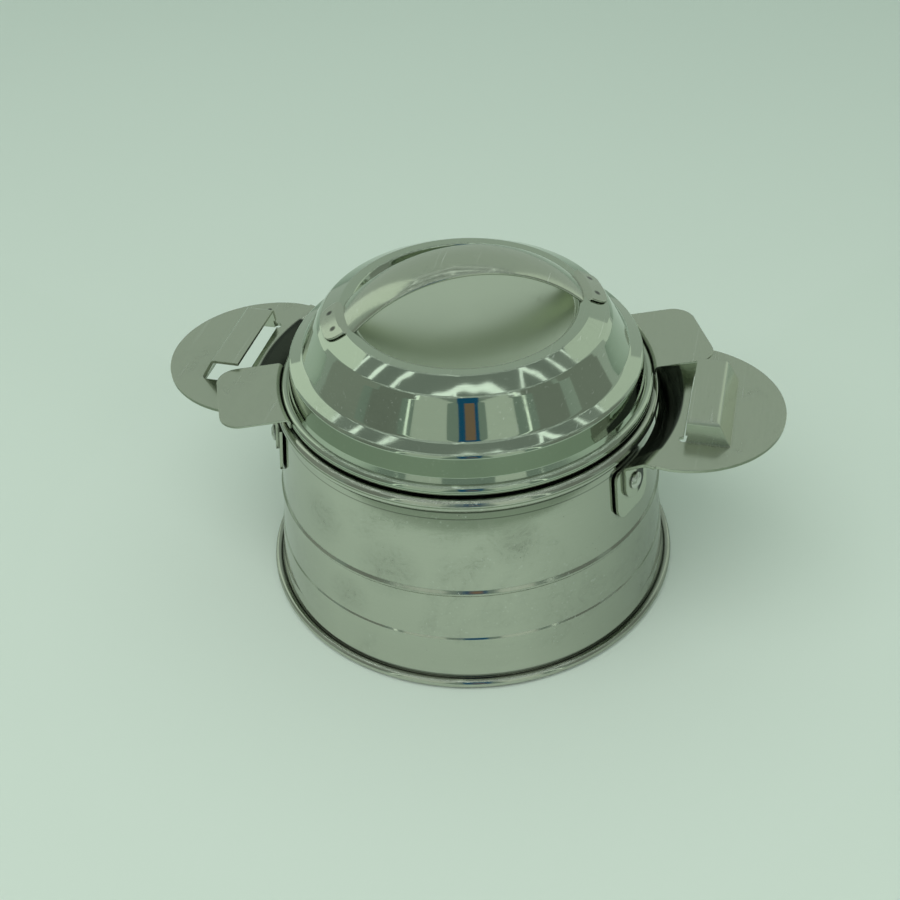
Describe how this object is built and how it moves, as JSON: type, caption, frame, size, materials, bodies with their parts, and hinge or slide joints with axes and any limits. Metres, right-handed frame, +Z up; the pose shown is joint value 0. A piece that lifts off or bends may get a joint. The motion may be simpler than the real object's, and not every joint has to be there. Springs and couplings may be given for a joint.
{
  "type": "insulated casserole",
  "caption": "Round insulated steel casserole for flatbread, with fixed slotted handle plates and a lift-off twist-lock lid with a strap grip.",
  "frame": {"origin": "centre of the underside, on the body's vertical axis", "axes": "+Z up along the body's axis, +X along the two handle plates towards the one on the right of the picture, +Y away from the viewer"},
  "size_m": [0.24, 0.1668, 0.1378],
  "materials": {
    "mirror_steel": "polished, with smudges",
    "bowl_steel": "satin",
    "strap_steel": "fine brushed",
    "handle_steel": "brushed, semi-polished",
    "bracket_steel": "polished",
    "rivet_steel": "satin",
    "foam": "rigid foam, hidden"
  },
  "bodies": {
    "pot": {"outer_shell": "mirror_steel", "base_plate": "mirror_steel", "body_insulation": "foam", "inner_bowl": "bowl_steel", "right_near_bracket": "bracket_steel", "right_far_bracket": "bracket_steel", "left_near_bracket": "bracket_steel", "left_far_bracket": "bracket_steel", "right_near_rivet": "rivet_steel", "right_far_rivet": "rivet_steel", "left_near_rivet": "rivet_steel", "left_far_rivet": "rivet_steel", "right_handle": "handle_steel", "left_handle": "handle_steel"},
    "lid_core": {"lid_inner_pan": "bowl_steel", "lid_insulation": "foam"},
    "lid": {"lid_dome": "mirror_steel", "lid_strap_grip": "strap_steel", "right_lid_tongue": "handle_steel", "left_lid_tongue": "handle_steel"}
  },
  "joints": [
    {"name": "lid_lift", "type": "slide", "parent": "pot", "child": "lid_core", "axis": [0, 0, 1], "range_m": [0, 0.1]},
    {"name": "lid_turn", "type": "hinge", "parent": "lid_core", "child": "lid", "pos_m": [0, 0, 0.087], "axis": [0, 0, 1], "range_deg": [-25, 125]}
  ]
}
